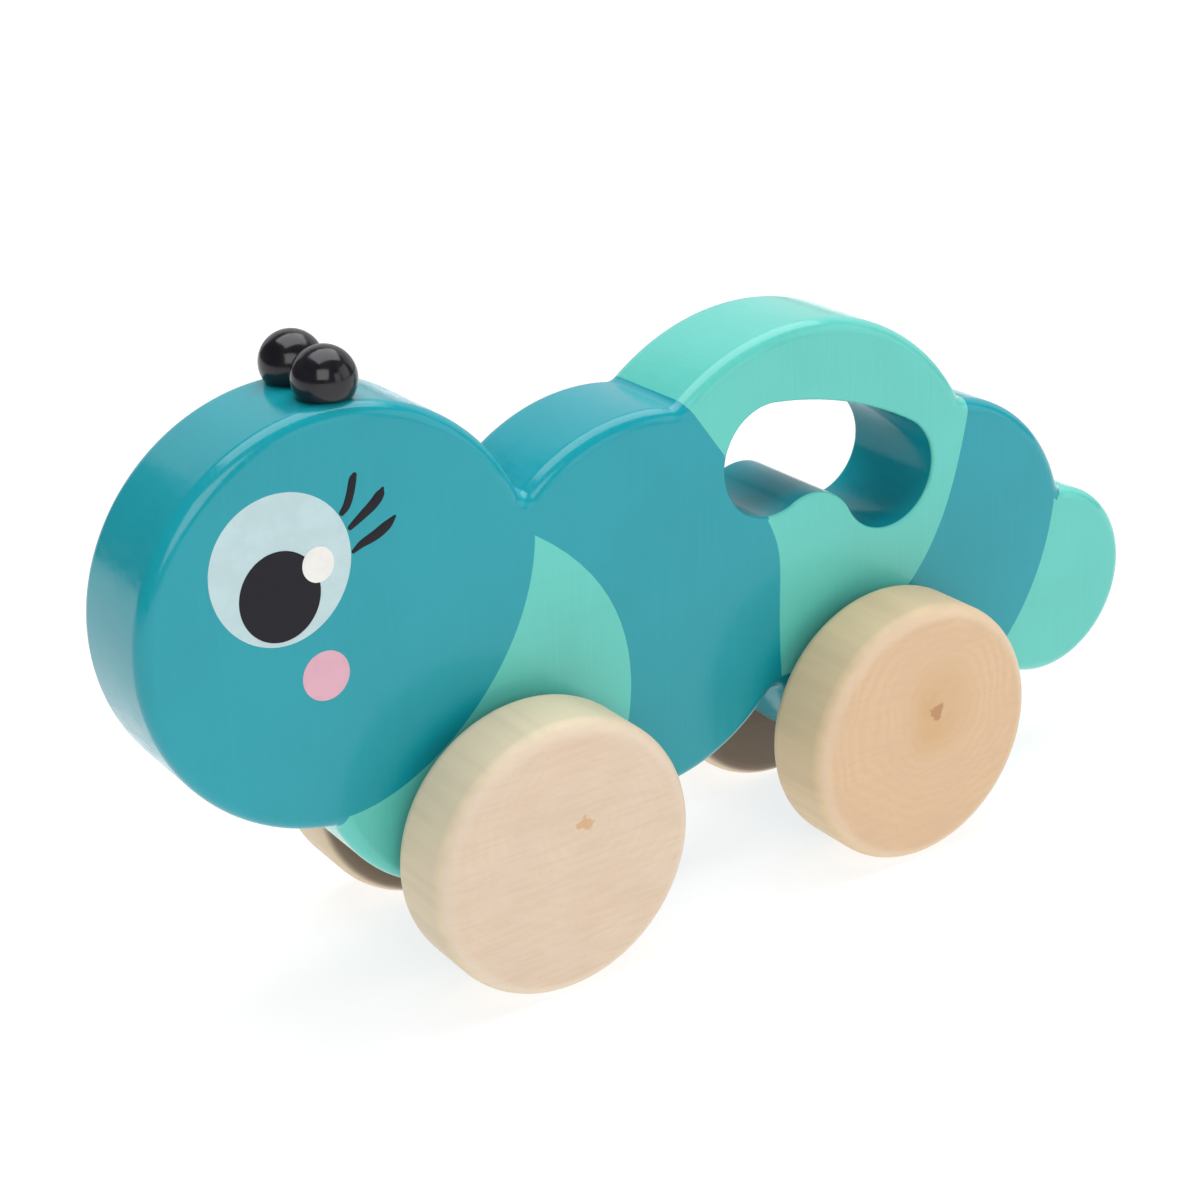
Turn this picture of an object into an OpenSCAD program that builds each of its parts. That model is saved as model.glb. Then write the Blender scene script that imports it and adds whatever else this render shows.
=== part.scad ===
// Push-along grub toy: a rounded wooden board on two turning wheelsets, with a hand hole and
// two ball-headed antenna pegs. The toy faces -X, its left side is -Y, and it stands on z = 0.
// The origin is under the middle of the whole toy.

/* [Board] */
// Thickness of the board
board_t = 20; // [16:0.5:26]
// Radius that rounds both rims of the board
rim_r = 2.5; // [1:0.1:3.5]

/* [Head] */
// Radius of the head
head_r = 31.7; // [26:0.1:38.5]
// Height of the head's centre above the axles
head_rise = 39.2; // [36:0.1:46]

/* [Segment 1] */
// Radius of the first segment, behind and below the head
seg1_r = 25; // [22:0.1:30]
// Distance of its centre behind the head's centre
seg1_step = 19.3; // [16:0.1:23.5]
// Height of its centre above the axles
seg1_rise = 16.8; // [14:0.1:19]

/* [Segment 2] */
// Radius of the second segment
seg2_r = 31.5; // [28:0.1:34]
// Distance of its centre behind the first segment's centre
seg2_step = 31.7; // [27:0.1:36]
// Height of its centre above the axles
seg2_rise = 27.9; // [25:0.1:31]

/* [Segment 3] */
// Radius of the high back, the third segment's top
back_r = 37.7; // [34:0.1:42]
// Distance of its centre behind the second segment's centre
back_step = 30.4; // [28:0.1:34]
// Height of its centre above the axles
back_rise = 29.9; // [27:0.1:33]
// Radius of the third segment's foot, which holds the rear axle
foot_r = 26; // [22:0.1:29]
// Distance of the foot's centre behind the back's centre
foot_step = 20.4; // [17:0.1:23]
// Height of the foot's centre above the axles
foot_rise = 14; // [12:0.1:16]

/* [Segment 4 and tail] */
// Radius of the fourth segment
seg4_r = 28.7; // [26:0.1:32]
// Distance of its centre behind the high back's centre
seg4_step = 28.3; // [25:0.1:32]
// Height of its centre above the axles
seg4_rise = 20.3; // [17:0.1:23]
// Radius of the tail
tail_r = 16.8; // [14:0.1:20]
// Distance of the tail's centre behind the fourth segment's centre
tail_step = 26.6; // [23:0.1:30]
// Height of the tail's centre above the axles
tail_rise = 10.9; // [8:0.1:13]

/* [Hand hole] */
// Radius of the two round ends
lobe_r = 9.2; // [7.5:0.1:10]
// Distance between the centres of the two round ends
lobe_gap = 24.9; // [21:0.1:28]
// Radius of the long arc along the top of the hole
arch_r = 66.6; // [55:0.1:80]
// Radius of the bump between the ends
bump_r = 8.6; // [7.5:0.1:12]
// Distance of the hole's middle behind the high back's centre
hole_step = 5.1; // [3.6:0.1:6.6]
// Height of the hole's middle above the high back's centre
hole_rise = 13.3; // [11:0.1:15]
// Slope of the hole, down towards the tail
hole_slope = 17.3; // [12:0.1:22]

/* [Wheels and axles] */
// Diameter of the wheels
wheel_d = 44; // [36:0.5:53]
// Thickness of the wheels
wheel_t = 14; // [12:0.5:18]
// Radius that rounds the wheels' rims
wheel_rim_r = 2.8; // [1.5:0.1:4]
// Gap between the board and each wheel
wheel_gap = 2.1; // [1:0.1:4]
// Diameter of the axles
axle_d = 8; // [6:0.5:10]
// How deep an axle is glued into each wheel
axle_seat = 10; // [6:0.5:11]
// Running clearance around an axle, on the radius
axle_clear = 0.1; // [0.03:0.01:0.1]
// Distance of the front axle behind the first segment's centre
front_axle_step = 5.5; // [3:0.1:8]
// Distance of the rear axle before the foot's centre
rear_axle_step = 8; // [5:0.1:10]

/* [Antennae] */
// Radius of an antenna's ball
ball_r = 4.7; // [3.8:0.05:5.7]
// Gap between the two balls
ball_gap = 0.3; // [0.2:0.1:2]
// Height of a ball's centre above the head's rim
ball_rise = 2.6; // [2:0.1:3.5]
// Lean of the antennae, back from upright
ball_lean = 2.2; // [-10:0.1:12]
// Diameter of the peg under a ball
peg_d = 5; // [4:0.1:6]
// Depth of the peg in the head
peg_depth = 12; // [8:0.5:16]

/* [Hidden] */
$fn = 96;

TEAL = "#3ca0ad";
BLACK = "#313135";
WOOD = "#dfc8b1";
PALE_WOOD = "#e8d6bf";

// Far past every size, for a cutter that has to reach across the whole toy
FAR = 200;
// How far a cutter runs past each face of the board
PAST = 1;

// Places in the board's plane, [x, z]. They are first counted from the head's centre, at axle height.
axle_z = wheel_d / 2;
seg1_x = seg1_step;
seg2_x = seg1_x + seg2_step;
back_x = seg2_x + back_step;
foot_x = back_x + foot_step;
seg4_x = back_x + seg4_step;
tail_x = seg4_x + tail_step;
// The origin is half way between the front of the head and the end of the tail
mid_x = (tail_x + tail_r - head_r) / 2;

function place(x, rise) = [x - mid_x, axle_z + rise];
head = place(0, head_rise);
seg1 = place(seg1_x, seg1_rise);
seg2 = place(seg2_x, seg2_rise);
back = place(back_x, back_rise);
foot = place(foot_x, foot_rise);
seg4 = place(seg4_x, seg4_rise);
tail = place(tail_x, tail_rise);
hole = place(back_x + hole_step, back_rise + hole_rise);
front_axle_at = place(seg1_x + front_axle_step, 0);
rear_axle_at = place(foot_x - rear_axle_step, 0);

// The high back is kept only above the middle of the joint between segment 2 and the foot,
// so that it doesn't fill the notch under it.
function crossing(a, ra, b, rb) =
    let (d = norm(b - a), along = (ra * ra - rb * rb + d * d) / (2 * d))
    a + (b - a) * along / d;
back_floor = crossing(seg2, seg2_r, foot, foot_r)[1];

wheel_in = board_t / 2 + wheel_gap;
wheel_out = wheel_in + wheel_t;
axle_half = wheel_in + axle_seat;

// Lays a shape drawn in [x, z] and raised along its own z into the board: [x, y] becomes [x, z].
module in_board(p) {
    translate([p[0], 0, p[1]]) rotate([90, 0, 0]) children();
}

// A disc of the board, centred, with both rims rounded by e.
module disc(r, t, e) {
    rotate_extrude() {
        translate([0, -t / 2]) square([r - e, t]);
        translate([0, e - t / 2]) square([r, t - 2 * e]);
        for (side = [-1, 1]) translate([r - e, side * (t / 2 - e)]) circle(e);
    }
}

// The hand hole, drawn level about its middle and then sloped: two round ends, joined by a long arc
// above them and by a bump below them, both of which touch the ends without a corner.
module hand_hole() {
    s = lobe_gap / 2;
    arch_drop = sqrt(pow(arch_r - lobe_r, 2) - s * s);
    bump_drop = sqrt(pow(lobe_r + bump_r, 2) - s * s);
    // The lines from the arch's centre through the ends' centres, run on past the arch
    past = (arch_r + lobe_r) / (arch_r - lobe_r);
    in_board(hole) rotate([0, 0, -hole_slope]) linear_extrude(board_t + 2 * PAST, center = true) {
        for (side = [-1, 1]) translate([side * s, 0]) circle(lobe_r);
        difference() {
            intersection() {
                polygon([[0, -bump_drop], [s, 0], [s * past, arch_drop * (past - 1)],
                         [-s * past, arch_drop * (past - 1)], [-s, 0]]);
                translate([0, -arch_drop]) circle(arch_r);
            }
            translate([0, -bump_drop]) circle(bump_r);
        }
    }
}

module axle_bore(p) {
    in_board(p) cylinder(r = axle_d / 2 + axle_clear, h = board_t + 2 * PAST, center = true);
}

// Puts a shape whose z axis is an antenna's axis, with z = 0 on the head's rim, on one side.
module on_head(side) {
    translate([head[0], side * (ball_r + ball_gap / 2), head[1]]) rotate([0, ball_lean, 0])
        translate([0, 0, head_r]) children();
}

module body_board() {
    color(TEAL) difference() {
        union() {
            in_board(head) disc(head_r, board_t, rim_r);
            in_board(seg1) disc(seg1_r, board_t, rim_r);
            in_board(seg2) disc(seg2_r, board_t, rim_r);
            intersection() {
                in_board(back) disc(back_r, board_t, rim_r);
                translate([-FAR, -FAR / 2, back_floor]) cube([2 * FAR, FAR, FAR]);
            }
            in_board(foot) disc(foot_r, board_t, rim_r);
            in_board(seg4) disc(seg4_r, board_t, rim_r);
            in_board(tail) disc(tail_r, board_t, rim_r);
        }
        hand_hole();
        axle_bore(front_axle_at);
        axle_bore(rear_axle_at);
        for (side = [-1, 1]) on_head(side)
            translate([0, 0, -peg_depth]) cylinder(d = peg_d, h = peg_depth + ball_r);
    }
}

module axle(p) {
    color(PALE_WOOD) in_board(p) cylinder(d = axle_d, h = 2 * axle_half, center = true);
}

module front_axle() { axle(front_axle_at); }
module rear_axle() { axle(rear_axle_at); }

// A wheel with a blind bore in its inner face; side is -1 for the left and 1 for the right.
module wheel(p, side) {
    color(WOOD) difference() {
        translate([0, side * (wheel_in + wheel_out) / 2, 0]) in_board(p) disc(wheel_d / 2, wheel_t, wheel_rim_r);
        in_board(p) cylinder(d = axle_d, h = 2 * axle_half, center = true);
    }
}

module front_left_wheel() { wheel(front_axle_at, -1); }
module front_right_wheel() { wheel(front_axle_at, 1); }
module rear_left_wheel() { wheel(rear_axle_at, -1); }
module rear_right_wheel() { wheel(rear_axle_at, 1); }

// A ball with a flat foot that sits on the head's rim, over a glued peg.
module antenna(side) {
    color(BLACK) on_head(side) {
        intersection() {
            translate([0, 0, ball_rise]) sphere(ball_r);
            translate([-ball_r, -ball_r, 0]) cube([2 * ball_r, 2 * ball_r, 3 * ball_r]);
        }
        translate([0, 0, -peg_depth]) cylinder(d = peg_d, h = peg_depth + ball_rise);
    }
}

module left_antenna() { antenna(-1); }
module right_antenna() { antenna(1); }

body_board();
front_axle();
rear_axle();
front_left_wheel();
front_right_wheel();
rear_left_wheel();
rear_right_wheel();
left_antenna();
right_antenna();
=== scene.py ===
"""Looks of the push-along grub toy: painted board, printed faces, bare wooden wheels, black antennae."""
import math

import bmesh
import bpy
from mathutils import Matrix, Vector
from mathutils.geometry import delaunay_2d_cdt


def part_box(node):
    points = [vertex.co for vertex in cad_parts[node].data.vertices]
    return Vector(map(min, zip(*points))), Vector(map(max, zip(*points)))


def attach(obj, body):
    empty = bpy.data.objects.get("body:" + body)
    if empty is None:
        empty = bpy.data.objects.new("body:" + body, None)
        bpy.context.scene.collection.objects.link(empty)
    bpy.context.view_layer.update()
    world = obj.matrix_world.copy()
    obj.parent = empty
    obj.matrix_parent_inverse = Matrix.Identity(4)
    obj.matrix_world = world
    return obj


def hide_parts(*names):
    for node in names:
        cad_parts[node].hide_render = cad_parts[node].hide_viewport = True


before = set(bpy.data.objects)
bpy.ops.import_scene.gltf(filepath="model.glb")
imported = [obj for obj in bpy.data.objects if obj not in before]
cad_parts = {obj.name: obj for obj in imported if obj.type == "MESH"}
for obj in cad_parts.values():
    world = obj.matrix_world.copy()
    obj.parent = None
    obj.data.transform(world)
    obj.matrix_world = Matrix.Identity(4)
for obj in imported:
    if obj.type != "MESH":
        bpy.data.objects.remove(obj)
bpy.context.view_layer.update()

MM = 0.001


def middle(node):
    """The middle of a CAD node's box, in metres."""
    low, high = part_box(node)
    return (low + high) / 2


# ---------------------------------------------------------------------------------------------
# The board's plane. Points in it are (u, v): millimetres behind the front axle, and above it.
# ---------------------------------------------------------------------------------------------

AXLE = middle("front_axle")
REAR_U = (middle("rear_axle").x - AXLE.x) / MM
BOARD_LOW, BOARD_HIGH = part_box("body_board")
BOARD_HALF = (BOARD_HIGH.y - BOARD_LOW.y) / 2 / MM
RIM_R = 2.5
HOLE_RIM_R = 0.5
BORE_R = 4.1

# The discs that the board is cut to: (u, v, radius)
HEAD = (-24.8, 39.2, 31.7)
SEG1 = (-5.5, 16.8, 25.0)
SEG2 = (26.2, 27.9, 31.5)
BACK = (56.6, 29.9, 37.7)
FOOT = (77.0, 14.0, 26.0)
SEG4 = (84.9, 20.3, 28.7)
TAIL = (111.5, 10.9, 16.8)

# The outline, counter-clockwise from the tail: a disc, the paint of its rim, the fillet in the notch
# after it, and how far through that fillet the paint changes
TEAL, MINT, WALL, BARE = range(4)
OUTLINE = (
    (TAIL, MINT, 2.8, 0.5),
    (SEG4, TEAL, 2.8, 0.0),
    (BACK, MINT, 2.5, 0.0),
    (SEG2, TEAL, 0.8, 0.5),
    (HEAD, TEAL, 1.2, 0.5),
    (SEG1, MINT, 2.0, 0.5),
    (SEG2, TEAL, 1.5, 0.5),
    (FOOT, TEAL, 3.0, 0.5),
    (SEG4, MINT, 3.0, 0.5),
)
ARC_STEP = math.radians(2)

# The hand hole: its middle, slope and the radii of its arcs
HOLE_MID = (BACK[0] + 5.1, BACK[1] + 13.3)
HOLE_SLOPE = math.radians(17.3)
LOBE_R, LOBE_GAP, ARCH_R, BUMP_R = 9.2, 24.9, 66.6, 8.6


def polar(centre, radius, angle):
    return (centre[0] + radius * math.cos(angle), centre[1] + radius * math.sin(angle))


def heading(start, end):
    return math.atan2(end[1] - start[1], end[0] - start[0])


def fillet_centre(a, b, radius):
    """Centre of the circle that touches discs a and b from outside, on the right of the way from a to b."""
    gap = math.dist(a[:2], b[:2])
    p, q = a[2] + radius, b[2] + radius
    along = (p * p - q * q + gap * gap) / (2 * gap)
    off = math.sqrt(p * p - along * along)
    ux, uy = (b[0] - a[0]) / gap, (b[1] - a[1]) / gap
    return (a[0] + ux * along + uy * off, a[1] + uy * along - ux * off)


class Stroke:
    """One arc of a closed line. Its radius grows or shrinks as the line moves into the wood."""

    def __init__(self, centre, radius, start, sweep, grow, paint, least=2):
        self.centre, self.radius, self.start, self.sweep = centre, radius, start, sweep
        self.grow, self.paint = grow, paint
        self.count = max(least, round(abs(sweep) / ARC_STEP))

    def points(self, inset):
        """Points from the arc's start up to the start of the next arc."""
        radius = self.radius + self.grow * inset
        turns = (self.start + self.sweep * k / self.count for k in range(self.count))
        return [polar(self.centre, radius, turn) for turn in turns]


def outline_strokes():
    """The board's outline as arcs, and the indices of the points where the rim's paint changes, one for each
    fillet."""
    count = len(OUTLINE)
    centres = [
        fillet_centre(OUTLINE[k][0], OUTLINE[(k + 1) % count][0], OUTLINE[k][2]) for k in range(count)
    ]
    strokes, changes, made = [], [], 0
    for k, (disc, paint, fillet, share) in enumerate(OUTLINE):
        following = OUTLINE[(k + 1) % count]
        start = heading(disc, centres[k - 1])
        sweep = (heading(disc, centres[k]) - start) % math.tau
        strokes.append(Stroke(disc, disc[2], start, sweep, -1, paint))
        made += strokes[-1].count
        # A fillet turns the other way, in two parts that meet where the paint changes
        start = heading(centres[k], disc)
        sweep = -((start - heading(centres[k], following[0])) % math.tau)
        for part, colour in ((share, paint), (1 - share, following[1])):
            if part > 0:
                strokes.append(Stroke(centres[k], fillet, start, sweep * part, 1, colour, least=4))
                start += sweep * part
                made += strokes[-1].count
        changes.append(made - strokes[-1].count)
    return strokes, changes


def hole_strokes():
    """The hand hole's outline as four arcs: a round end, the long arch, a round end and the bump."""
    s = LOBE_GAP / 2
    arch_drop = math.sqrt((ARCH_R - LOBE_R) ** 2 - s * s)
    bump_drop = math.sqrt((LOBE_R + BUMP_R) ** 2 - s * s)
    to_arch, to_bump = math.atan2(arch_drop, s), math.atan2(bump_drop, s)

    def stroke(u, v, radius, start, end, grow):
        """An arc given in the hole's own level frame."""
        centre = polar(HOLE_MID, math.hypot(u, v), math.atan2(v, u) - HOLE_SLOPE)
        return Stroke(centre, radius, start - HOLE_SLOPE, end - start, grow, WALL)

    return [
        stroke(s, 0, LOBE_R, to_bump - math.pi, to_arch, 1),
        stroke(0, -arch_drop, ARCH_R, to_arch, math.pi - to_arch, 1),
        stroke(-s, 0, LOBE_R, math.pi - to_arch, math.tau - to_bump, 1),
        stroke(0, -bump_drop, BUMP_R, math.pi - to_bump, to_bump, -1),
    ]


def ring(strokes, inset):
    return [point for stroke in strokes for point in stroke.points(inset)]


def paints(strokes):
    return [stroke.paint for stroke in strokes for _ in range(stroke.count)]


def bezier(a, b, c, d, count=40):
    """Points of a cubic curve, both ends included."""
    curve = []
    for k in range(count + 1):
        t = k / count
        weights = ((1 - t) ** 3, 3 * (1 - t) ** 2 * t, 3 * (1 - t) * t * t, t**3)
        curve.append(tuple(sum(w * p[i] for w, p in zip(weights, (a, b, c, d))) for i in (0, 1)))
    return curve


def inside(point, polygon):
    """True if the point is inside the closed polygon."""
    u, v = point
    hit = False
    for (u1, v1), (u2, v2) in zip(polygon, polygon[1:] + polygon[:1]):
        if (v1 > v) != (v2 > v) and u < u1 + (v - v1) * (u2 - u1) / (v2 - v1):
            hit = not hit
    return hit


def to_world(u, y, v):
    return Vector((AXLE.x + u * MM, AXLE.y + y * MM, AXLE.z + v * MM))


# ---------------------------------------------------------------------------------------------
# Materials
# ---------------------------------------------------------------------------------------------


class Shade:
    """A Principled material, with short calls to build what drives it. Lengths in it are metres."""

    def __init__(self, name, roughness=0.5, **constants):
        self.material = bpy.data.materials.new(name)
        self.material.use_nodes = True
        self.tree = self.material.node_tree
        self.surface = self.tree.nodes["Principled BSDF"]
        self.surface.inputs["Roughness"].default_value = roughness
        for key, value in constants.items():
            self.surface.inputs[key.replace("_", " ")].default_value = value
        self.place = self.tree.nodes.new("ShaderNodeTexCoord").outputs["Object"]

    def put(self, socket, value):
        if isinstance(value, bpy.types.NodeSocket):
            self.tree.links.new(value, socket)
        else:
            socket.default_value = value

    def drive(self, key, value):
        self.put(self.surface.inputs[key], value)

    def math(self, operation, a, b=0.0):
        node = self.tree.nodes.new("ShaderNodeMath")
        node.operation = operation
        self.put(node.inputs[0], a)
        self.put(node.inputs[1], b)
        return node.outputs[0]

    def stretch(self, scale, offset=(0, 0, 0), turn=(0, 0, 0)):
        """The place in the object, turned, moved and stretched."""
        node = self.tree.nodes.new("ShaderNodeMapping")
        self.put(node.inputs["Vector"], self.place)
        node.inputs["Location"].default_value = offset
        node.inputs["Rotation"].default_value = turn
        node.inputs["Scale"].default_value = scale
        return node.outputs[0]

    def noise(self, vector, detail=3.0, rough=0.5, warp=0.0):
        node = self.tree.nodes.new("ShaderNodeTexNoise")
        self.put(node.inputs["Vector"], vector)
        for key, value in (("Scale", 1.0), ("Detail", detail), ("Roughness", rough), ("Distortion", warp)):
            node.inputs[key].default_value = value
        return node.outputs["Fac"]

    def span(self, value, low, high, to_low=0.0, to_high=1.0):
        """Maps low..high smoothly to to_low..to_high, and holds the ends."""
        node = self.tree.nodes.new("ShaderNodeMapRange")
        node.interpolation_type = "SMOOTHSTEP"
        self.put(node.inputs["Value"], value)
        for key, number in (("From Min", low), ("From Max", high), ("To Min", to_low), ("To Max", to_high)):
            node.inputs[key].default_value = number
        return node.outputs[0]

    def mix(self, share, a, b):
        """Colour a with a share of colour b."""
        node = self.tree.nodes.new("ShaderNodeMix")
        node.data_type = "RGBA"
        self.put(node.inputs["Factor"], share)
        self.put(node.inputs["A"], a if isinstance(a, bpy.types.NodeSocket) else (*a, 1))
        self.put(node.inputs["B"], b if isinstance(b, bpy.types.NodeSocket) else (*b, 1))
        return node.outputs["Result"]

    def bump(self, height, strength, distance, after=None):
        node = self.tree.nodes.new("ShaderNodeBump")
        node.inputs["Strength"].default_value = strength
        node.inputs["Distance"].default_value = distance
        self.put(node.inputs["Height"], height)
        if after is not None:
            self.put(node.inputs["Normal"], after)
        return node.outputs[0]


def tint(colour, factor):
    return tuple(min(1.0, channel * factor) for channel in colour)


def linear(red, green, blue):
    """An sRGB colour of 0 to 255 as linear light."""
    levels = (value / 255 for value in (red, green, blue))
    return tuple(v / 12.92 if v <= 0.04045 else ((v + 0.055) / 1.055) ** 2.4 for v in levels)


def paint_material(name, colour, gloss=0.17, shine=0.45):
    """Glossy toy paint over sanded wood: faint brush marks up the board, grain showing through along it."""
    s = Shade(name, Specular_IOR_Level=shine)
    cloud = s.noise(s.stretch((45, 45, 45)), detail=2)
    brush = s.noise(s.stretch((1900, 260, 70)), detail=3, rough=0.6)
    grain = s.noise(s.stretch((22, 700, 420)), detail=4, warp=0.3)
    peel = s.noise(s.stretch((900, 900, 900)), detail=1)
    shade = s.mix(s.span(cloud, 0.3, 0.7), tint(colour, 0.97), tint(colour, 1.03))
    shade = s.mix(s.span(brush, 0.45, 0.75, 0.0, 0.35), shade, tint(colour, 1.09))
    shade = s.mix(s.span(grain, 0.55, 0.8, 0.0, 0.25), shade, tint(colour, 0.92))
    s.drive("Base Color", shade)
    s.drive("Roughness", s.span(brush, 0.2, 0.8, gloss - 0.08, gloss + 0.10))
    ripple = s.bump(grain, 0.22, 0.00010)
    ripple = s.bump(brush, 0.16, 0.00007, ripple)
    s.drive("Normal", s.bump(peel, 0.10, 0.00004, ripple))
    return s.material


def ink_material(name, colour):
    """Pad-printed ink: matter than the paint under it, with a faintly uneven lay."""
    s = Shade(name, Specular_IOR_Level=0.22)
    lay = s.noise(s.stretch((260, 260, 260)), detail=4, rough=0.6)
    fleck = s.noise(s.stretch((1600, 1600, 1600)), detail=2)
    shade = s.mix(s.span(lay, 0.35, 0.65), tint(colour, 0.965), tint(colour, 1.03))
    shade = s.mix(s.span(fleck, 0.6, 0.8, 0.0, 0.3), shade, tint(colour, 0.94))
    s.drive("Base Color", shade)
    s.drive("Roughness", s.span(lay, 0.3, 0.7, 0.34, 0.46))
    s.drive("Normal", s.bump(fleck, 0.15, 0.00003))
    return s.material


def lacquer_material(name):
    """Thick black gloss lacquer on a turned wooden ball."""
    s = Shade(name, Specular_IOR_Level=0.45)
    cloud = s.noise(s.stretch((300, 300, 300)), detail=2)
    grain = s.noise(s.stretch((900, 900, 160)), detail=3)
    s.drive("Base Color", s.mix(s.span(cloud, 0.3, 0.7), (0.007, 0.007, 0.010), (0.014, 0.013, 0.018)))
    s.drive("Roughness", s.span(grain, 0.3, 0.7, 0.12, 0.22))
    s.drive("Normal", s.bump(grain, 0.25, 0.00006))
    return s.material


def wheel_material(node, pith, warmth, stain, turn):
    """Bare maple turned across the grain: a pith mark and faint rings on the faces, fine figure across them,
    a smooth pale tread, and a painted highlight on the rounded rims."""
    s = Shade(node + "_wood", Specular_IOR_Level=0.45)
    low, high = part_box(node)
    centre = (low + high) / 2
    radius = AXLE.z
    pale = tuple(a + (b - a) * warmth for a, b in zip((0.765, 0.605, 0.460), (0.740, 0.490, 0.275)))
    split = s.tree.nodes.new("ShaderNodeSeparateXYZ")
    s.put(split.inputs[0], s.place)

    def distance(u, v):
        """How far a point is from a line along Y."""
        x = s.math("SUBTRACT", split.outputs["X"], centre.x + u * MM)
        z = s.math("SUBTRACT", split.outputs["Z"], centre.z + v * MM)
        return s.math("SQRT", s.math("ADD", s.math("MULTIPLY", x, x), s.math("MULTIPLY", z, z)))

    out, away = distance(0, 0), distance(*pith)
    wobble = s.noise(s.stretch((70, 25, 70)), detail=4)
    warped = s.math("ADD", away, s.math("MULTIPLY", s.math("SUBTRACT", wobble, 0.5), 0.009))
    tread = s.span(out, radius - 0.0010, radius - 0.0002)
    # Year rings, uneven in width and strength
    rings = s.math("SINE", s.math("MULTIPLY", warped, 3400))
    wide = s.noise(s.stretch((120, 40, 120), offset=(3, 0, 1)), detail=3)
    ring_share = s.math("MULTIPLY", s.span(rings, -1, 1), s.span(wide, 0.35, 0.7, 0.02, 0.06 + stain * 0.07))
    # Fine figure: short lines across the face, and a softer wash of colour
    tilt = (0, math.radians(turn), 0)
    figure = s.noise(s.stretch((150, 90, 1500), turn=tilt), detail=2, rough=0.5)
    wash = s.noise(s.stretch((60, 30, 150), turn=tilt, offset=(1, 4, 0)), detail=4, rough=0.5)
    pore = s.noise(s.stretch((3200, 900, 3200)), detail=1)
    shade = s.mix(s.span(wide, 0.3, 0.7), tint(pale, 0.975), tint(pale, 1.025))
    shade = s.mix(ring_share, shade, tint(pale, 0.62))
    shade = s.mix(s.span(wash, 0.5, 0.75, 0.0, 0.22), shade, linear(221, 188, 156))
    shade = s.mix(s.span(figure, 0.42, 0.68, 0.0, 0.17), shade, linear(210, 175, 143))
    shade = s.mix(s.span(pore, 0.66, 0.8, 0.0, 0.30), shade, linear(190, 154, 122))
    # The stain spreads about the pith, which is a small brown mark of no set shape
    near = s.span(warped, 0.001, 0.010, 1.0, 0.0)
    stained = s.math("MULTIPLY", near, s.span(wide, 0.3, 0.65, stain * 0.35, stain))
    shade = s.mix(stained, shade, linear(212, 168, 116))
    speck = s.noise(s.stretch((520, 300, 520), offset=(7, 0, 2)), detail=3)
    mark_edge = s.math("ADD", away, s.math("MULTIPLY", s.math("SUBTRACT", speck, 0.5), 0.0042))
    mark = linear(214 - 32 * stain, 174 - 46 * stain, 130 - 42 * stain)
    shade = s.mix(s.span(mark_edge, 0.0009, 0.0015, 0.9, 0.0), shade, mark)
    # The rounding is made the palest part: a painted highlight along the rounded rims
    painted_highlight = s.math("MULTIPLY", s.span(out, radius - 0.0028, radius - 0.0012), 0.3)
    shade = s.mix(painted_highlight, shade, linear(238, 224, 204))
    # The tread shows side grain: streaks along it, and hardly any figure
    streak = s.noise(s.stretch((420, 22, 420), offset=(5, 1, 3)), detail=3)
    side = tuple(a + (b - a) * warmth for a, b in zip((0.81, 0.67, 0.47), (0.75, 0.55, 0.33)))
    side = s.mix(s.span(streak, 0.35, 0.7), side, tint(side, 0.92))
    shade = s.mix(tread, shade, side)
    # The inner face is made darker: painted shade for the shadow that the board casts on it
    outward = s.math("MULTIPLY", split.outputs["Y"], math.copysign(1, centre.y))
    inner_face = min(abs(low.y), abs(high.y))
    painted_shade_inner = s.span(outward, inner_face + 0.0002, inner_face + 0.0012, 0.85, 0.0)
    shade = s.mix(painted_shade_inner, shade, linear(92, 68, 48))
    s.drive("Base Color", shade)
    s.drive("Roughness", s.math("ADD", s.span(figure, 0.3, 0.7, 0.40, 0.50), s.math("MULTIPLY", tread, 0.06)))
    rough = s.bump(figure, 0.20, 0.00006)
    s.drive("Normal", s.bump(pore, 0.20, 0.00005, rough))
    return s.material


def dowel_material(name):
    """Pale birch dowel and the bare walls of its bore, with the grain along the axle."""
    s = Shade(name, Specular_IOR_Level=0.3)
    grain = s.noise(s.stretch((1100, 40, 1100)), detail=4, rough=0.6, warp=0.2)
    cloud = s.noise(s.stretch((200, 60, 200)), detail=2)
    shade = s.mix(s.span(cloud, 0.3, 0.7), linear(222, 200, 168), linear(206, 180, 146))
    s.drive("Base Color", s.mix(s.span(grain, 0.5, 0.75, 0.0, 0.5), shade, linear(176, 142, 104)))
    s.drive("Roughness", s.span(grain, 0.3, 0.7, 0.5, 0.68))
    s.drive("Normal", s.bump(grain, 0.3, 0.0001))
    return s.material


def floor_material(name):
    """White paper over a light table, so that the toy hardly casts a shadow."""
    s = Shade(name, roughness=0.8, Specular_IOR_Level=0.1)
    cloud = s.noise(s.stretch((6, 6, 6)), detail=2)
    s.drive("Base Color", s.mix(s.span(cloud, 0.3, 0.7), (0.28, 0.28, 0.285), (0.30, 0.30, 0.30)))
    s.surface.inputs["Emission Color"].default_value = (1, 1, 1, 1)
    s.surface.inputs["Emission Strength"].default_value = 0.78
    return s.material


# ---------------------------------------------------------------------------------------------
# Mesh tools
# ---------------------------------------------------------------------------------------------


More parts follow.
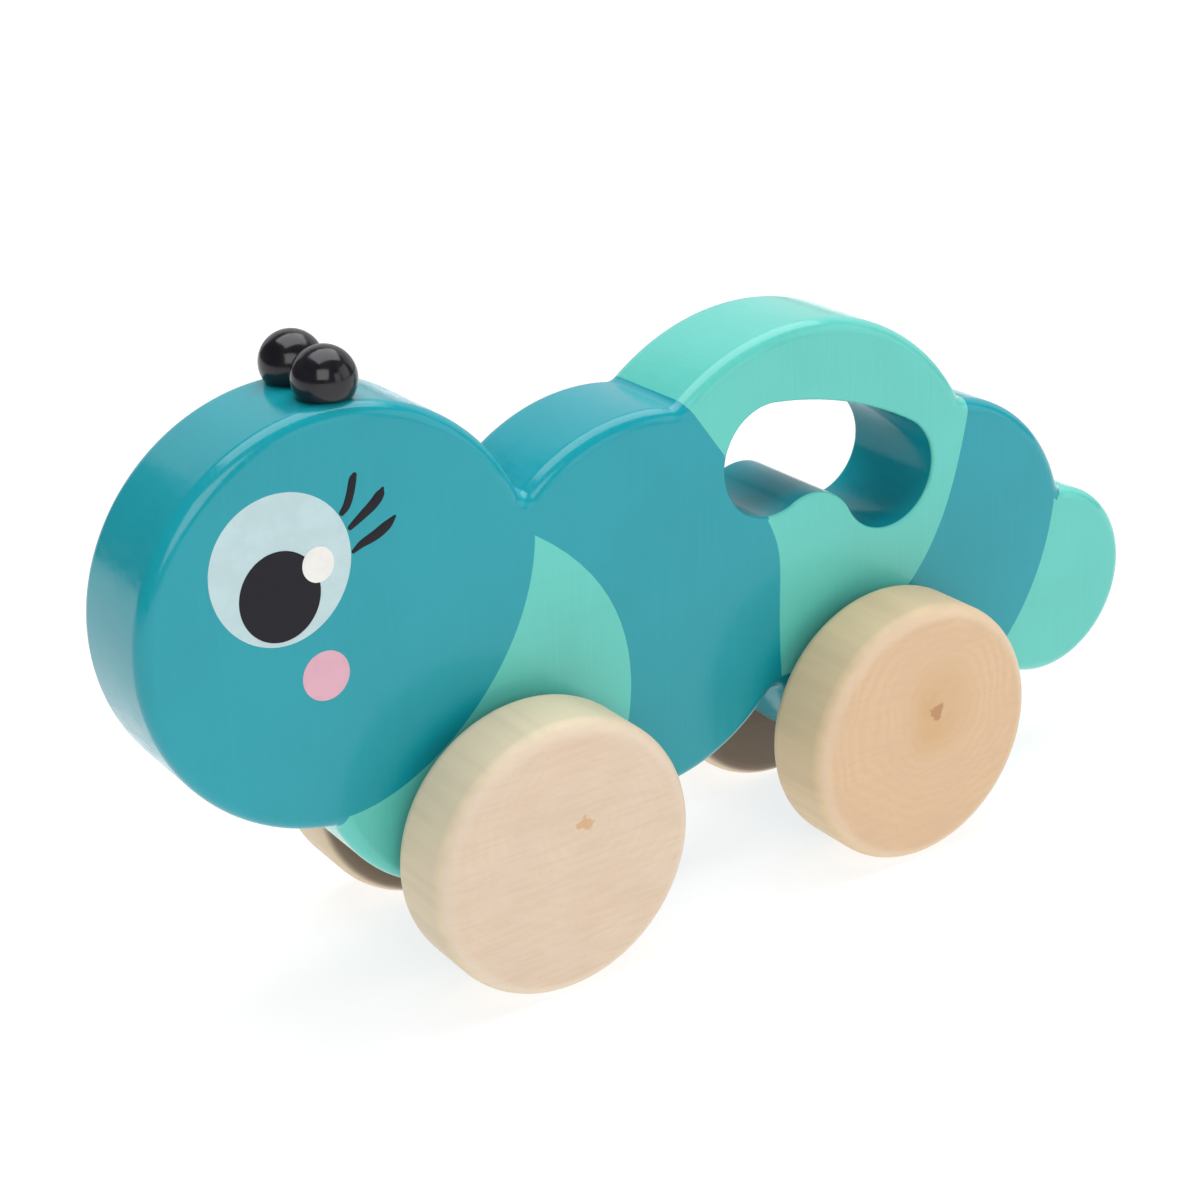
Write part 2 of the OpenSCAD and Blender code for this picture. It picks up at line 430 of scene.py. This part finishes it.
def finish_mesh(name, bm, materials, body, stands_for=None, sharp=40):
    """Turns a bmesh into a smooth-shaded piece that rides on a body."""
    bmesh.ops.remove_doubles(bm, verts=bm.verts, dist=1e-7)
    bmesh.ops.recalc_face_normals(bm, faces=bm.faces)
    mesh = bpy.data.meshes.new(name)
    bm.to_mesh(mesh)
    bm.free()
    for material in materials:
        mesh.materials.append(material)
    mesh.shade_smooth()
    mesh.set_sharp_from_angle(angle=math.radians(sharp))
    piece = bpy.data.objects.new(name, mesh)
    bpy.context.scene.collection.objects.link(piece)
    even = piece.modifiers.new("even_normals", "WEIGHTED_NORMAL")
    even.keep_sharp = True
    even.weight = 90
    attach(piece, body)
    if stands_for:
        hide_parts(stands_for)
    return piece


def band(bm, rings, indices=None, closed=True):
    """Joins rings of vertices by quads. indices gives the material of each column of quads."""
    count = len(rings[0])
    for lower, upper in zip(rings, rings[1:]):
        for k in range(count if closed else count - 1):
            after = (k + 1) % count
            face = bm.faces.new((lower[k], lower[after], upper[after], upper[k]))
            if indices:
                face.material_index = indices[k]


RIM_INNER, RIM_STEPS = 3, 9


def rim_levels(rim):
    """(inset, y) of the rings across the board: round one rim, over the flat edge, round the other."""
    turns = [math.pi / 2 * k / RIM_STEPS for k in range(RIM_STEPS + 1)]
    half = [(rim * (1 - math.cos(a)), BOARD_HALF - rim + rim * math.sin(a)) for a in turns]
    flat = BOARD_HALF - rim
    between = [(0.0, -flat + 2 * flat * k / RIM_INNER) for k in range(1, RIM_INNER)]
    return [(inset, -y) for inset, y in reversed(half)] + between + half


def lathe(profile, steps=144):
    """A bmesh turned about Z from (radius, height) points. A radius of 0 closes an end."""
    bm = bmesh.new()
    rings = []
    for radius, height in profile:
        if radius == 0:
            rings.append([bm.verts.new((0, 0, height))])
            continue
        turns = (math.tau * k / steps for k in range(steps))
        rings.append([bm.verts.new((radius * math.cos(a), radius * math.sin(a), height)) for a in turns])
    for lower, upper in zip(rings, rings[1:]):
        for k in range(steps):
            after = (k + 1) % steps
            corners = [lower[k % len(lower)], lower[after % len(lower)]]
            corners += [upper[after % len(upper)], upper[k % len(upper)]]
            bm.faces.new(list(dict.fromkeys(corners)))
    return bm


# ---------------------------------------------------------------------------------------------
# The board
# ---------------------------------------------------------------------------------------------


def painted_areas(edge, changes):
    """Curves between the paints on a face. edge is the flat face's outline, and changes says where on it the
    paint changes. Returns the curves, and the closed areas that are mint."""
    notch = dict(zip(("tail", "seg4", "back", "nape", "chin", "seg1", "belly", "foot", "rump"), changes))
    at = {name: edge[index] for name, index in notch.items()}
    tip = (6.0, 45.0)
    neck = bezier(tip, (5.0, 25.6), (-13.5, 9.8), at["chin"])
    seg1_back = bezier(tip, (46.2, 18.6), (-2.8, -29.9), at["seg1"])
    seg2_back = bezier(at["back"], (57.1, 27.0), (49.5, 36.8), at["belly"], 60)
    seg3_back = bezier(at["seg4"], (87.1, 31.3), (82.2, 10.1), at["belly"], 60)
    seg4_back = bezier(at["tail"], (109.6, 34.9), (114.6, 9.2), at["foot"])

    def along_edge(first, last):
        """The edge's points from one change of paint to another, counter-clockwise, without the ends."""
        count = len(edge)
        span = (notch[last] - notch[first]) % count
        return [edge[(notch[first] + k) % count] for k in range(1, span)]

    mint = [
        neck + along_edge("chin", "seg1") + seg1_back[::-1],
        seg3_back[::-1] + along_edge("seg4", "back") + seg2_back,
        seg4_back + along_edge("foot", "tail"),
    ]
    return [neck, seg1_back, seg2_back, seg3_back, seg4_back], mint


def board_face(loops, curves, mint):
    """Triangles of the flat face: the first loop less the others, cut along the curves. Returns points and
    (corners, paint)."""
    points, edges = [], []

    def chain(line, closed):
        first = len(points)
        points.extend(Vector(p) for p in line)
        edges.extend((first + k, first + k + 1) for k in range(len(line) - 1))
        if closed:
            edges.append((len(points) - 1, first))

    for loop in loops:
        chain(loop, True)
    for curve in curves:
        chain(curve, False)
    found, _, faces, *_ = delaunay_2d_cdt(points, edges, [], 1, 1e-6)
    triangles = []
    for corners in faces:
        centre = tuple(sum(found[c][i] for c in corners) / len(corners) for i in (0, 1))
        if not inside(centre, loops[0]) or any(inside(centre, loop) for loop in loops[1:]):
            continue
        triangles.append((corners, MINT if any(inside(centre, area) for area in mint) else TEAL))
    return found, triangles


def split_to_match(bm, added):
    """Splits the edges of the bands where a paint curve's end landed between two of their vertices."""
    for point in added:
        for edge in [e for e in bm.edges if e.is_boundary]:
            a, b = (v.co for v in edge.verts)
            if (a - point).length < 1e-6 or (b - point).length < 1e-6:
                continue
            if abs((a - point).length + (b - point).length - (a - b).length) < 1e-8:
                bmesh.utils.edge_split(edge, edge.verts[0], (a - point).length / (a - b).length)
                break


def make_board(materials):
    """The painted board: rims, hole walls and bores as bands, and the two flat faces cut into paints.
    materials are those of TEAL, MINT, WALL and BARE."""
    strokes, changes = outline_strokes()
    holes = hole_strokes()
    bores = [[polar((u, 0), BORE_R, math.tau * k / 72) for k in range(72)] for u in (0.0, REAR_U)]
    edge, hole_edge = ring(strokes, RIM_R), ring(holes, HOLE_RIM_R)
    curves, mint = painted_areas(edge, changes)
    found, triangles = board_face([edge, hole_edge, *bores], curves, mint)

    bm = bmesh.new()

    def rims(line, rim):
        return [
            [bm.verts.new(to_world(u, y, v)) for u, v in ring(line, inset)] for inset, y in rim_levels(rim)
        ]

    band(bm, rims(strokes, RIM_R), paints(strokes))
    # The faces' paints run round the hole's rims, and its walls get the teal made darker, as painted shade
    # for the recess
    walls = rims(holes, HOLE_RIM_R)
    lips = [MINT if any(inside(point, area) for area in mint) else TEAL for point in hole_edge]
    bend = (len(walls) - RIM_INNER) // 2
    band(bm, walls[: bend + 1], lips)
    band(bm, walls[bend:-bend], [WALL] * len(lips))
    band(bm, walls[-bend - 1 :], lips)
    for bore in bores:
        rings = [[bm.verts.new(to_world(u, y, v)) for u, v in bore] for y in (-BOARD_HALF, BOARD_HALF)]
        band(bm, rings, [BARE] * len(bore))

    known = {(round(u, 5), round(v, 5)) for loop in (edge, hole_edge, *bores) for u, v in loop}
    on_hole = [p for p in found if (round(p[0], 5), round(p[1], 5)) not in known and near_line(p, hole_edge)]
    for y in (-BOARD_HALF, BOARD_HALF):
        split_to_match(bm, [to_world(p[0], y, p[1]) for p in on_hole])
    for y in (-BOARD_HALF, BOARD_HALF):
        verts = [bm.verts.new(to_world(p[0], y, p[1])) for p in found]
        for corners, paint in triangles:
            face = bm.faces.new([verts[c] for c in corners])
            face.material_index = paint
    loose = [v for v in bm.verts if not v.link_faces]
    bmesh.ops.delete(bm, geom=loose, context="VERTS")
    return finish_mesh("painted_board", bm, materials, "root", "body_board")


def near_line(point, line):
    """True if the point lies on one of the closed line's edges."""
    for a, b in zip(line, line[1:] + line[:1]):
        if abs(math.dist(a, point) + math.dist(point, b) - math.dist(a, b)) < 1e-6:
            return True
    return False


# ---------------------------------------------------------------------------------------------
# Prints on the head, on both faces of the board
# ---------------------------------------------------------------------------------------------

INK_STEP = 0.05  # thickness of one coat of ink
INK_FOOT = 0.05  # how deep a print's foot lies in the board


def oval(u, v, ru, rv, egg=0.0, count=96):
    """A closed oval. egg above 0 makes its upper half wider."""
    turns = (math.tau * k / count for k in range(count))
    return [(u + ru * math.cos(a) * (1 + egg * math.sin(a)), v + rv * math.sin(a)) for a in turns]


def lash(nodes, steps=8):
    """A brush stroke with round ends through (u, v, width) nodes."""
    ends = [tuple(2 * a - b for a, b in zip(nodes[i], nodes[j])) for i, j in ((0, 1), (-1, -2))]
    knots = [ends[0], *nodes, ends[1]]
    spine = []
    for quad in zip(knots, knots[1:], knots[2:], knots[3:]):
        for t in (k / steps for k in range(steps)):
            spine.append(
                tuple(
                    b + t * (c - a + t * (2 * a - 5 * b + 4 * c - d + t * (3 * (b - c) + d - a))) / 2
                    for a, b, c, d in zip(*quad)
                )
            )
    spine.append(nodes[-1])
    left, right = [], []
    for k, (u, v, width) in enumerate(spine):
        turn = heading(spine[max(k - 1, 0)], spine[min(k + 1, len(spine) - 1)])
        left.append(polar((u, v), width / 2, turn + math.pi / 2))
        right.append(polar((u, v), width / 2, turn - math.pi / 2))

    def cap(node, turn):
        """The inner points of a half circle about a node, from its right round to its left."""
        return [polar(node[:2], node[2] / 2, turn + math.radians(a)) for a in (-60, -30, 0, 30, 60)]

    first = cap(spine[0], heading(spine[1], spine[0]))
    last = cap(spine[-1], heading(spine[-2], spine[-1]))
    return right + last + left[::-1] + first


def print_pad(name, shapes, coat, side, material):
    """Ink laid on the board: flat pads with softened edges, coat by coat."""
    bm = bmesh.new()
    for shape in shapes:
        mid_u, mid_v = (sum(p[i] for p in shape) / len(shape) for i in (0, 1))
        top = BOARD_HALF + coat * INK_STEP
        rings = []
        # Up from the foot, and over a softened edge to the flat top
        for inset, y in ((0.0, BOARD_HALF - INK_FOOT), (0.0, top - 0.03), (0.03, top - 0.008), (0.08, top)):
            moved = []
            for u, v in shape:
                reach = math.dist((u, v), (mid_u, mid_v)) or 1.0
                shrink = max(0.0, 1 - inset / reach)
                moved.append((mid_u + (u - mid_u) * shrink, mid_v + (v - mid_v) * shrink))
            rings.append([bm.verts.new(to_world(u, side * y, v)) for u, v in moved])
        band(bm, rings)
        bm.faces.new(rings[-1])
        bm.faces.new(rings[0])
    bmesh.ops.triangulate(bm, faces=[f for f in bm.faces if len(f.verts) > 4])
    return finish_mesh(name, bm, [material], "root")


# The three lashes, from the eye outwards: (u, v, width) along each brush stroke
LASHES = (
    ((-24.9, 55.7, 0.9), (-24.1, 56.6, 1.2), (-23.4, 58.3, 1.25), (-22.9, 60.1, 1.2), (-22.6, 60.7, 0.8)),
    ((-23.8, 53.3, 0.8), (-22.3, 54.3, 1.2), (-20.1, 55.8, 1.55), (-18.9, 57.0, 1.45), (-18.4, 57.8, 0.5)),
    ((-23.6, 49.7, 0.6), (-22.2, 50.5, 1.15), (-20.0, 51.3, 1.55), (-18.1, 52.3, 1.45), (-16.8, 53.3, 0.5)),
)


def make_prints(inks):
    """The eye, its pupil and glint, the cheek and the lashes on both faces, as coats of ink."""
    layers = (
        ("eye", [oval(-34.75, 49.6, 10.78, 11.1, 0.035)], 1, "pale"),
        ("pupil", [oval(-35.2, 45.83, 6.19, 6.64)], 2, "black"),
        ("glint", [oval(-29.14, 49.16, 2.45, 2.62)], 3, "white"),
        ("cheek", [oval(-29.2, 32.4, 3.67, 3.75)], 1, "pink"),
        ("lashes", [lash(nodes) for nodes in LASHES], 1, "black"),
    )
    for side, word in ((-1, "left"), (1, "right")):
        for part, shapes, coat, ink in layers:
            print_pad(f"{word}_{part}", shapes, coat, side, inks[ink])


# ---------------------------------------------------------------------------------------------
# Wheels, axles and antennae
# ---------------------------------------------------------------------------------------------

WHEEL_RIM_R = 2.8
AXLE_SEAT = 10.0


def make_wheel(node, body, material):
    """A turned wheel with rounded rims, a hair's crown on its faces, and a blind bore in its inner face."""
    low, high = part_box(node)
    centre = (low + high) / 2
    radius = (high.z - low.z) / 2 / MM
    thick = (high.y - low.y) / MM
    axle_low, axle_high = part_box(body.replace("wheelset", "axle"))
    bore = (axle_high.z - axle_low.z) / 2 / MM
    turns = [math.pi / 2 * k / 10 for k in range(11)]
    flat = radius - WHEEL_RIM_R

    def corner(sign):
        return [
            (flat + WHEEL_RIM_R * math.sin(a), sign * (thick / 2 - WHEEL_RIM_R + WHEEL_RIM_R * math.cos(a)))
            for a in turns
        ]

    crown = [(flat * k / 6, thick / 2 - 0.04 * (k / 6) ** 2) for k in range(6)]
    profile = crown + corner(1) + corner(-1)[::-1]
    profile += [(bore + 0.3, -thick / 2), (bore, -thick / 2 + 0.3), (bore, -thick / 2 + AXLE_SEAT)]
    profile.append((0, -thick / 2 + AXLE_SEAT))
    bm = lathe([(r * MM, h * MM) for r, h in profile])
    outward = 1 if centre.y > 0 else -1
    spin = Matrix.Rotation(-outward * math.pi / 2, 4, "X")
    bmesh.ops.transform(bm, matrix=Matrix.Translation(centre) @ spin, verts=bm.verts)
    return finish_mesh(node + "_turned", bm, [material], body, node)


def make_antenna(node, material):
    """A ball with a flat foot over a short peg, square to the head's rim."""
    low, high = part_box(node)
    ball_r = (high.y - low.y) / 2 / MM
    rise, lean, peg_r, peg_shown = 2.6, math.radians(2.2), 2.5, 4.0
    foot = -math.asin(rise / ball_r)
    turns = [foot + (math.pi / 2 - foot) * k / 40 for k in range(40)]
    profile = [(0, -peg_shown), (peg_r, -peg_shown), (peg_r, 0.0), (ball_r * math.cos(foot) - 0.25, 0.0)]
    profile += [(ball_r * math.cos(a), rise + ball_r * math.sin(a)) for a in turns[1:]]
    profile.append((0, rise + ball_r))
    bm = lathe([(r * MM, h * MM) for r, h in profile], steps=96)
    head = to_world(HEAD[0], 0, HEAD[1])
    head.y = (low.y + high.y) / 2
    stand = Matrix.Rotation(lean, 4, "Y") @ Matrix.Translation((0, 0, HEAD[2] * MM))
    bmesh.ops.transform(bm, matrix=Matrix.Translation(head) @ stand, verts=bm.verts)
    return finish_mesh(node + "_ball", bm, [material], "root", node)


# ---------------------------------------------------------------------------------------------
# Camera, light and floor
# ---------------------------------------------------------------------------------------------


def make_camera():
    """The photo's view: its turns in degrees, and its distance from a point in the board's plane."""
    azimuth, elevation, roll = (math.radians(a) for a in (-33.354, 22.714, -1.749))
    distance, target = 0.36135, to_world(23.54, 0, 26.97)
    back = Vector((math.sin(azimuth), -math.cos(azimuth), 0)) * math.cos(elevation)
    back.z = math.sin(elevation)
    right = (-back).cross(Vector((0, 0, 1))).normalized()
    up = right.cross(-back)
    turned_right = right * math.cos(roll) + up * math.sin(roll)
    turned_up = up * math.cos(roll) - right * math.sin(roll)
    data = bpy.data.cameras.new("camera")
    data.lens, data.sensor_width = 69.66, 36
    data.clip_start, data.clip_end = 0.02, 60
    camera = bpy.data.objects.new("camera", data)
    axes = Matrix((turned_right, turned_up, back)).transposed().to_4x4()
    camera.matrix_world = Matrix.Translation(target + back * distance) @ axes
    bpy.context.scene.collection.objects.link(camera)
    bpy.context.scene.camera = camera


def make_light(name, place, away, width, height, radiance, tone=(1, 1, 1)):
    """A rectangular soft box. away points out of its back, and radiance is how bright it looks, with paper
    white as 1."""
    data = bpy.data.lights.new(name, "AREA")
    data.shape, data.size, data.size_y = "RECTANGLE", width, height
    data.energy, data.color = radiance * math.pi * width * height, tone
    light = bpy.data.objects.new(name, data)
    light.location = place
    light.rotation_mode = "QUATERNION"
    light.rotation_quaternion = Vector(away).to_track_quat("Z", "Y")
    bpy.context.scene.collection.objects.link(light)


def make_studio():
    """Five soft boxes round the toy, a dim world and a floor that glows like a light table."""
    scene = bpy.context.scene
    scene.view_settings.view_transform = "Standard"
    world = bpy.data.worlds.new("studio")
    world.use_nodes = True
    world.node_tree.nodes["Background"].inputs["Color"].default_value = (1, 1, 1, 1)
    world.node_tree.nodes["Background"].inputs["Strength"].default_value = 0.11
    scene.world = world
    make_light("front_box", (-0.50, -0.83, 0.58), (-0.46, -0.75, 0.47), 0.74, 0.64, 2.8, (1.0, 0.99, 0.97))
    make_light("low_box", (0.34, -1.02, 0.30), (0.30, -0.93, 0.20), 0.40, 0.50, 1.3)
    make_light("side_box", (1.00, -0.75, 0.45), (0.80, -0.55, 0.35), 0.80, 0.80, 1.15)
    make_light("top_box", (0.28, 0.22, 1.25), (0, 0, 1), 1.70, 1.20, 3.2, (0.98, 0.99, 1.0))
    make_light("back_box", (0.85, 1.15, 0.72), (0.60, 0.74, 0.30), 3.9, 1.3, 0.66)
    bm = bmesh.new()
    bmesh.ops.create_grid(bm, x_segments=8, y_segments=8, size=1.6)
    mesh = bpy.data.meshes.new("floor")
    bm.to_mesh(mesh)
    bm.free()
    mesh.materials.append(floor_material("floor"))
    floor = bpy.data.objects.new("floor", mesh)
    scene.collection.objects.link(floor)


# ---------------------------------------------------------------------------------------------
# The toy
# ---------------------------------------------------------------------------------------------

make_camera()
make_studio()

TEAL_PAINT = (0.008, 0.334, 0.405)
MINT_PAINT = (0.126, 0.606, 0.530)
dowel = dowel_material("birch_dowel")
make_board(
    [
        paint_material("teal_paint", TEAL_PAINT),
        paint_material("mint_paint", MINT_PAINT),
        # The hole's walls: the teal a tenth darker, painted shade for the recess
        paint_material("hole_shaded_paint", tint(TEAL_PAINT, 0.90), shine=0.26),
        dowel,
    ]
)
make_prints(
    {
        "pale": ink_material("pale_ink", (0.535, 0.702, 0.727)),
        "black": ink_material("black_ink", (0.011, 0.010, 0.016)),
        "white": ink_material("white_ink", (0.868, 0.852, 0.811)),
        "pink": ink_material("pink_ink", (0.755, 0.434, 0.530)),
    }
)
black = lacquer_material("black_lacquer")
for antenna in ("left_antenna", "right_antenna"):
    make_antenna(antenna, black)

# Each wheel is its own slice of wood: where its pith is, how warm its colour, how stained, the saw's angle
WHEELS = {
    "front_left_wheel": ("front_wheelset", (2.6, 5.7), 0.05, 0.05, 7),
    "front_right_wheel": ("front_wheelset", (-4.5, 3.2), 0.35, 0.20, -12),
    "rear_left_wheel": ("rear_wheelset", (1.7, 3.9), 0.80, 0.85, 5),
    "rear_right_wheel": ("rear_wheelset", (3.4, -5.0), 0.25, 0.30, 20),
}
for node, (body, pith, warmth, stain, turn) in WHEELS.items():
    wood = wheel_material(node, pith, warmth, stain, turn)
    make_wheel(node, body, wood)
for node in ("front_axle", "rear_axle"):
    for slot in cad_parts[node].material_slots:
        slot.material = dowel
